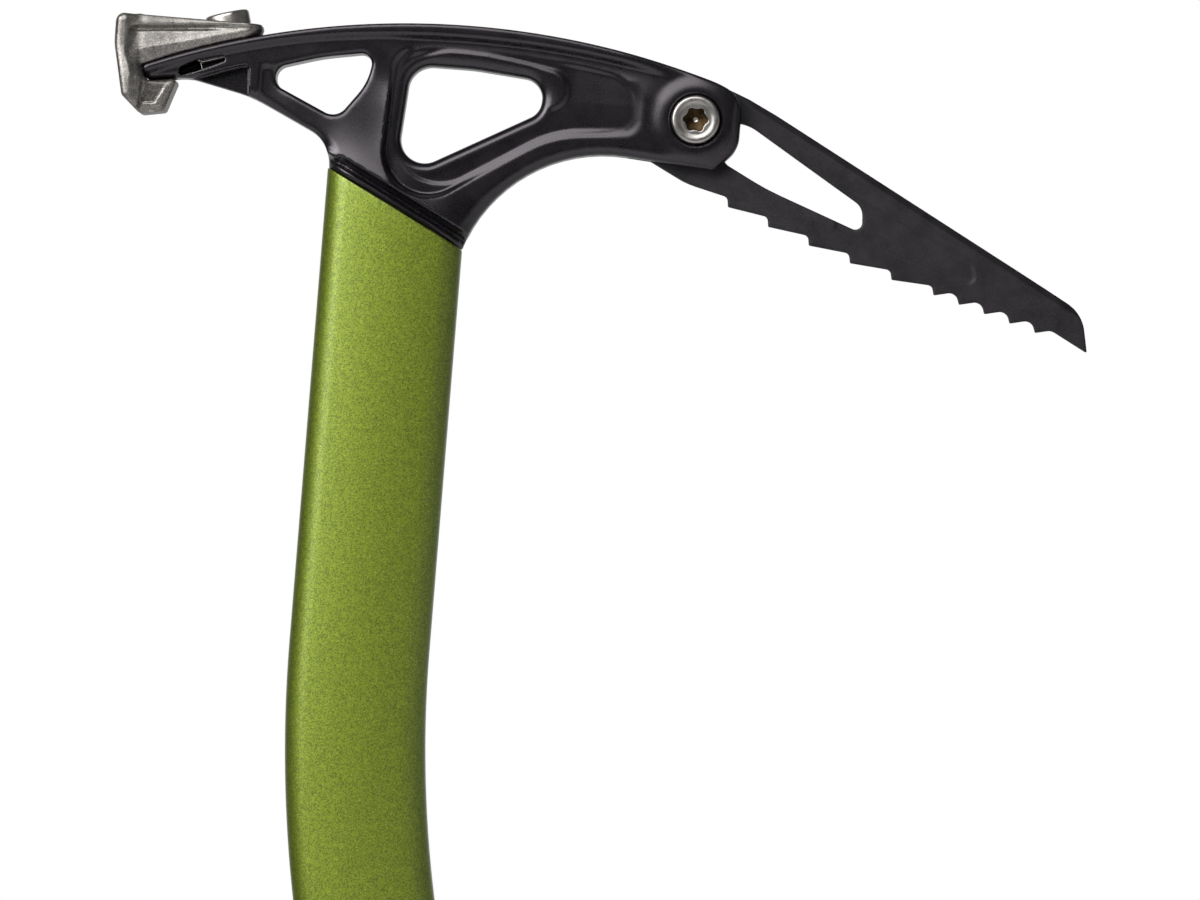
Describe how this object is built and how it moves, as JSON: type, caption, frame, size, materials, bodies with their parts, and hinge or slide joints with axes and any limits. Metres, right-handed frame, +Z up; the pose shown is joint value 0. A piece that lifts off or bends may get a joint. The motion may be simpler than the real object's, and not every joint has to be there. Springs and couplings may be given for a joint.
{
  "type": "ice climbing tool",
  "caption": "Technical ice axe with a bent tube shaft, forged head, bolted toothed pick, bolted hammer, moulded grip, sliding grip rest on a cam clamp, and a steel spike.",
  "frame": {"origin": "centre of the clip-in hole in the spike", "axes": "+Z up along the straight grip, +X towards the pick, +Y across the tool and away from the picture's viewer"},
  "size_m": [0.249, 0.0353, 0.5095],
  "materials": {
    "anodised_black": "black anodised forging, satin with a fine grain",
    "epoxy": "set structural adhesive",
    "pick_steel": "black powder finish on alloy steel",
    "stainless": "turned stainless steel",
    "cast_steel": "cast stainless steel, bead blasted",
    "anodised_green": "green metallic finish with a fine sparkle",
    "grip_rubber": "moulded rubber, matt",
    "nylon": "glass-filled nylon, matt",
    "brass_washer": "brass",
    "lever_alloy": "black anodised alloy"
  },
  "bodies": {
    "tool": {"head": "anodised_black", "head_bond": "epoxy", "pick": "pick_steel", "pick_bolt": "stainless", "pick_nut": "stainless", "hammer": "cast_steel", "hammer_bolt": "stainless", "hammer_nut": "stainless", "shaft": "anodised_green", "grip": "grip_rubber", "spike": "cast_steel", "spike_rivet": "stainless"},
    "griprest": {"griprest_body": "nylon", "clamp_skewer": "stainless", "skewer_nut": "stainless", "cam_washer": "brass_washer"},
    "lever": {"cam_lever": "lever_alloy", "lever_axle": "stainless"}
  },
  "joints": [
    {"name": "griprest_slide", "type": "slide", "parent": "tool", "child": "griprest", "axis": [0, 0, 1], "range_m": [0, 0.11]},
    {"name": "lever_hinge", "type": "hinge", "parent": "griprest", "child": "lever", "pos_m": [-0.027, -0.0153, 0.038], "axis": [0, 0, -1], "range_deg": [0, 120]}
  ]
}
